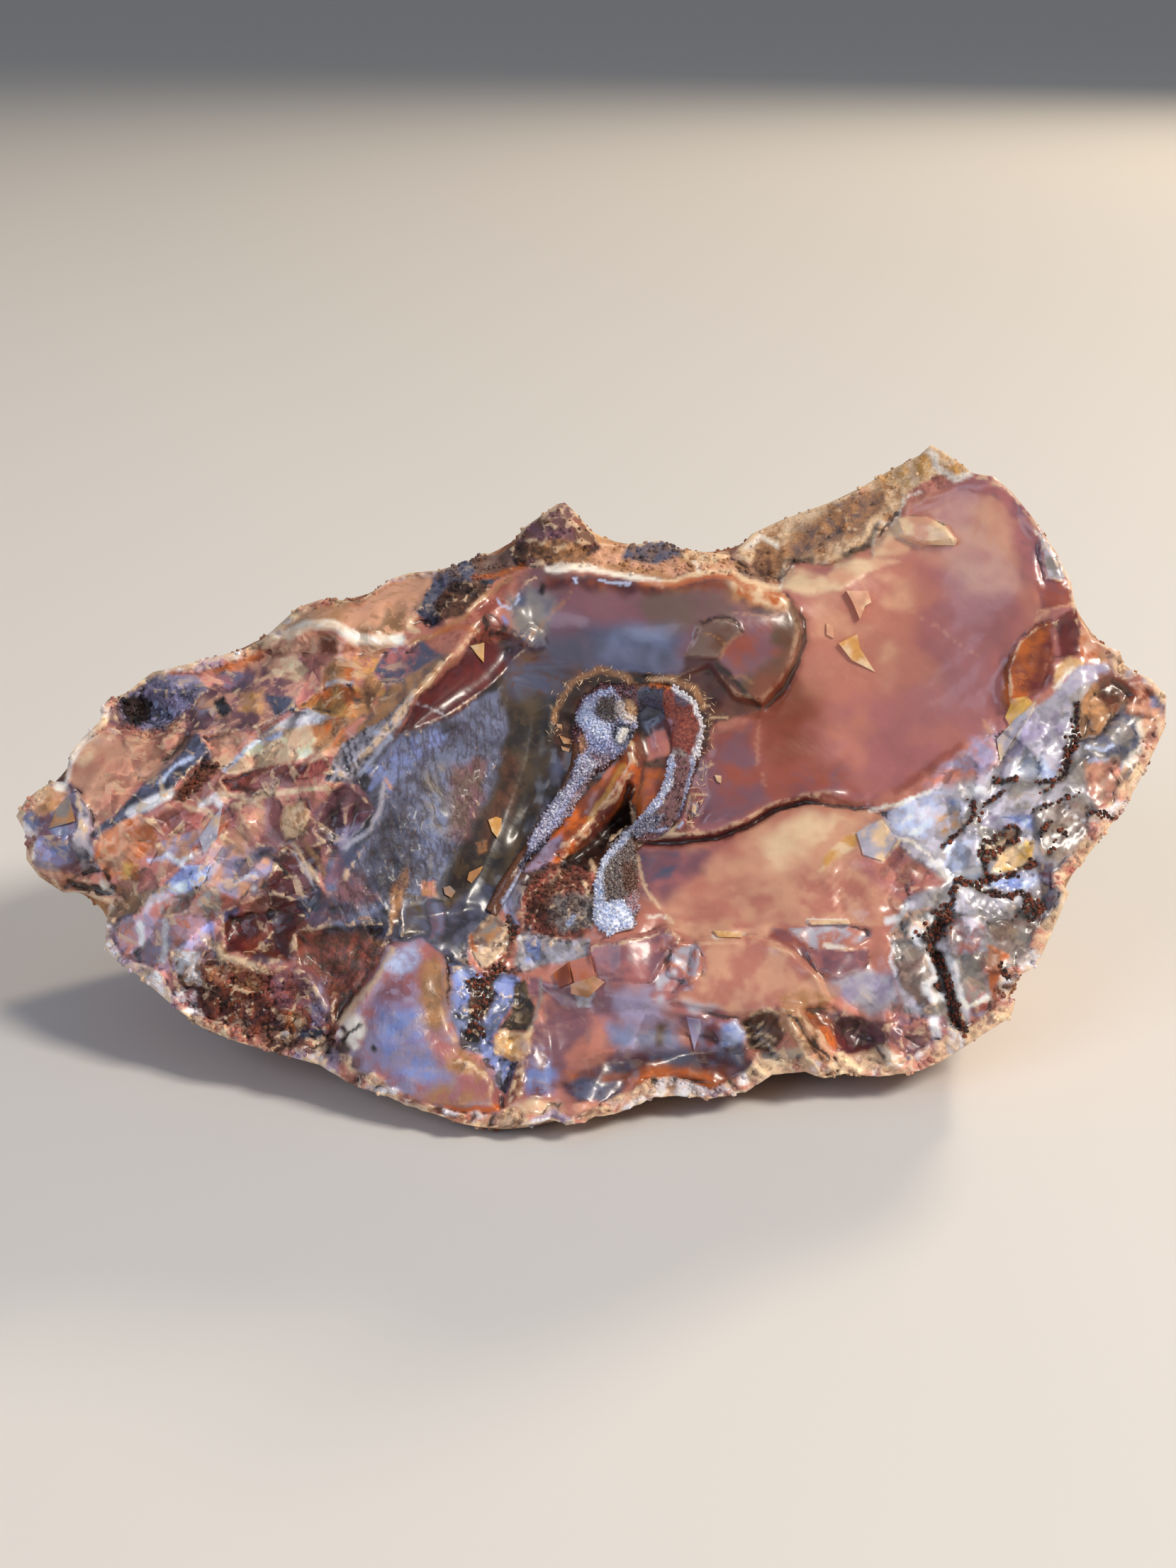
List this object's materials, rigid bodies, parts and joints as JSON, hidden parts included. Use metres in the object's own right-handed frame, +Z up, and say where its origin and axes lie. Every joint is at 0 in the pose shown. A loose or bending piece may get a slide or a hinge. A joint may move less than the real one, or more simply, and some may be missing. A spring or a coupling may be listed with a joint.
{
  "type": "raw carnelian",
  "caption": "Rough piece of carnelian with a glassy broken face, a crust of fine quartz in its hollow and a brown rind on its rounded back.",
  "frame": {"origin": "centre of the bounding box in X and Y, on the plane that the stone rests on", "axes": "+Z up, +X along the stone's length to the right as seen from in front of its broken face, -Y the way that the broken face looks"},
  "size_m": [0.1836, 0.0996, 0.0895],
  "materials": {
    "carnelian": "glassy broken chalcedony, salmon to maroon and slate blue, with a rough cream and brown rind",
    "druse": "sparkling crust of fine white quartz points"
  },
  "bodies": {
    "root": {"carnelian": "carnelian", "druse_crust": "druse"}
  },
  "joints": []
}
